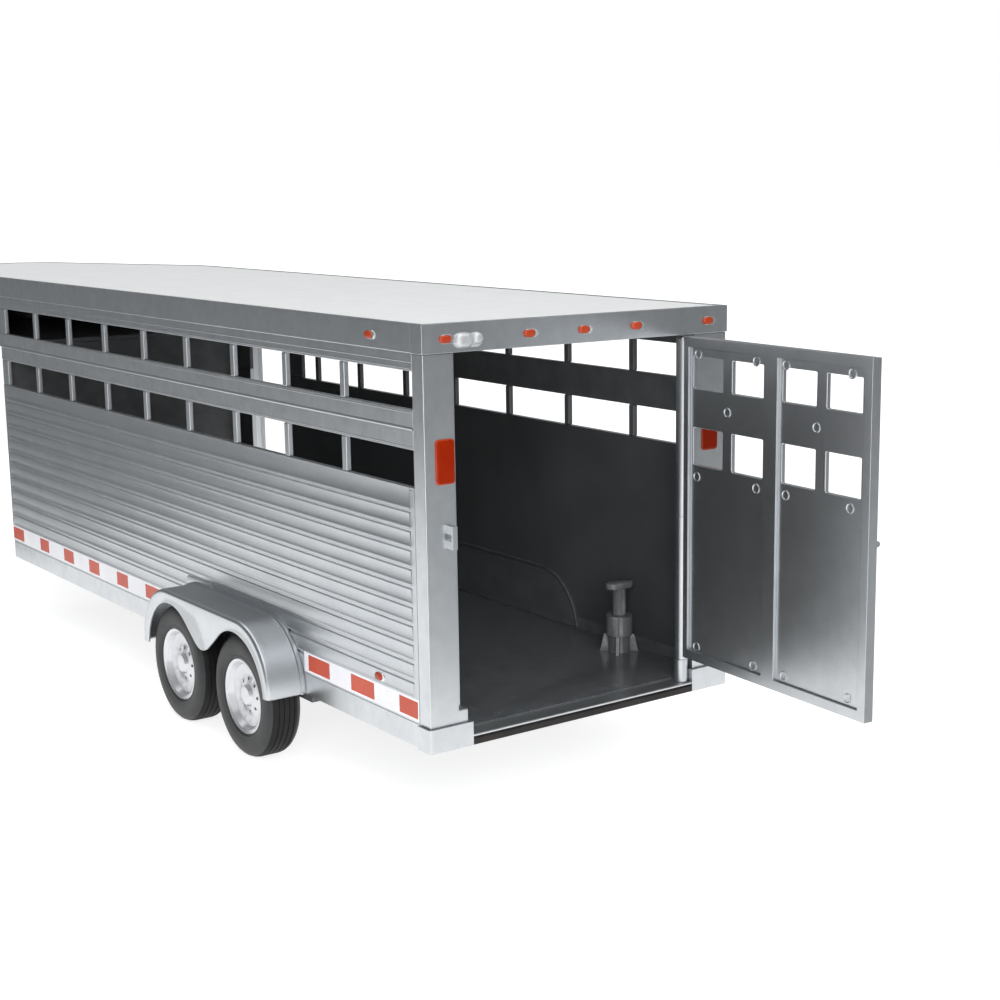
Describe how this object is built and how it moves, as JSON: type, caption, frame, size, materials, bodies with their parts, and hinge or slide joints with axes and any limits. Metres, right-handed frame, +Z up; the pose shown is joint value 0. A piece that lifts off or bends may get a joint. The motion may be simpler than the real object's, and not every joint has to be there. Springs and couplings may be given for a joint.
{
  "type": "model livestock trailer",
  "caption": "Scale-model gooseneck livestock trailer with slatted sides, window rows, an open rear door and tandem wheels under fenders.",
  "frame": {"origin": "centre of the ball socket under the gooseneck", "axes": "+X forward along the trailer, +Y to its left side, +Z up; the socket opens downwards"},
  "size_m": [0.5259, 0.132, 0.139],
  "materials": {
    "silver_plastic": "satin silver painted moulded plastic",
    "charcoal_plastic": "semi-gloss charcoal moulded plastic",
    "roof_white": "satin white",
    "tyre_vinyl": "matte soft vinyl",
    "rim_silver": "bright silver paint",
    "steel_rod": "plain drawn steel",
    "bezel_chrome": "bright silver",
    "red_lens": "glossy red lens",
    "lamp_clear": "clear glossy lens",
    "tape_white": "printed film with red blocks"
  },
  "bodies": {
    "chassis": {"floor_pan": "charcoal_plastic", "rear_sill": "silver_plastic", "bumper_blocks": "silver_plastic", "bottom_rail_left": "silver_plastic", "bottom_rail_right": "silver_plastic", "siding_left": "silver_plastic", "siding_right": "silver_plastic", "mid_rail_left": "silver_plastic", "mid_rail_right": "silver_plastic", "top_rail_left": "silver_plastic", "top_rail_right": "silver_plastic", "window_bars_left": "silver_plastic", "window_bars_right": "silver_plastic", "rear_post_left": "silver_plastic", "rear_post_right": "silver_plastic", "rear_header": "silver_plastic", "roof_fascia_left": "silver_plastic", "roof_fascia_right": "silver_plastic", "roof_fascia_nose": "silver_plastic", "roof_panel": "roof_white", "front_wall": "silver_plastic", "nose_floor": "charcoal_plastic", "nose_wall_left": "silver_plastic", "nose_wall_right": "silver_plastic", "nose_wall_front": "silver_plastic", "neck_tube": "charcoal_plastic", "ball_coupler": "charcoal_plastic", "arch_liners": "charcoal_plastic", "fender_left": "silver_plastic", "fender_right": "silver_plastic", "axle_carriage": "charcoal_plastic", "axle_rods": "steel_rod", "lower_knuckle": "silver_plastic", "hinge_pin": "steel_rod", "latch_keeper": "silver_plastic", "side_hinges": "silver_plastic", "marker_bezels": "bezel_chrome", "marker_lenses": "red_lens", "tail_lamps": "red_lens", "loading_lamp": "lamp_clear", "reflective_tape": "tape_white", "floor_boss": "charcoal_plastic", "jack_housing": "silver_plastic"},
    "rear_door": {"door_frame": "silver_plastic", "door_panel_hinge": "silver_plastic", "door_panel_latch": "silver_plastic", "door_hinge_tube": "silver_plastic", "bolt_guides": "silver_plastic"},
    "latch_bolt": {"latch_bolt": "steel_rod"},
    "side_door": {"side_door": "silver_plastic"},
    "jack_leg": {"jack_leg": "steel_rod"},
    "turn_pin": {"turn_pin": "charcoal_plastic"},
    "wheel_rear_left": {"tyre_rear_left": "tyre_vinyl", "rim_rear_left": "rim_silver"},
    "wheel_rear_right": {"tyre_rear_right": "tyre_vinyl", "rim_rear_right": "rim_silver"},
    "wheel_front_left": {"tyre_front_left": "tyre_vinyl", "rim_front_left": "rim_silver"},
    "wheel_front_right": {"tyre_front_right": "tyre_vinyl", "rim_front_right": "rim_silver"}
  },
  "joints": [
    {"name": "rear_door_hinge", "type": "hinge", "parent": "chassis", "child": "rear_door", "pos_m": [-0.4181, -0.038, 0.0372], "axis": [0, 0, 1], "range_deg": [-86.2, 27]},
    {"name": "latch_bolt_slide", "type": "slide", "parent": "rear_door", "child": "latch_bolt", "axis": [-0.9978, 0.0663, 0], "range_m": [0, 0.005]},
    {"name": "side_door_hinge", "type": "hinge", "parent": "chassis", "child": "side_door", "pos_m": [-0.1117, -0.05485, 0.0372], "axis": [0, 0, -1], "range_deg": [0, 170]},
    {"name": "jack_leg_slide", "type": "slide", "parent": "chassis", "child": "jack_leg", "axis": [0, 0, 1], "range_m": [0, 0.018]},
    {"name": "turn_pin_turn", "type": "hinge", "parent": "chassis", "child": "turn_pin", "pos_m": [-0.3809, -0.044, -0.0128], "axis": [0, 0, 1], "range_deg": [0, 90]},
    {"name": "wheel_rear_left_spin", "type": "hinge", "parent": "chassis", "child": "wheel_rear_left", "pos_m": [-0.3295, 0.05935, -0.02605], "axis": [0, 1, 0], "continuous": true},
    {"name": "wheel_rear_right_spin", "type": "hinge", "parent": "chassis", "child": "wheel_rear_right", "pos_m": [-0.3295, -0.05935, -0.02605], "axis": [0, 1, 0], "continuous": true},
    {"name": "wheel_front_left_spin", "type": "hinge", "parent": "chassis", "child": "wheel_front_left", "pos_m": [-0.2832, 0.05935, -0.02605], "axis": [0, 1, 0], "continuous": true},
    {"name": "wheel_front_right_spin", "type": "hinge", "parent": "chassis", "child": "wheel_front_right", "pos_m": [-0.2832, -0.05935, -0.02605], "axis": [0, 1, 0], "continuous": true}
  ]
}
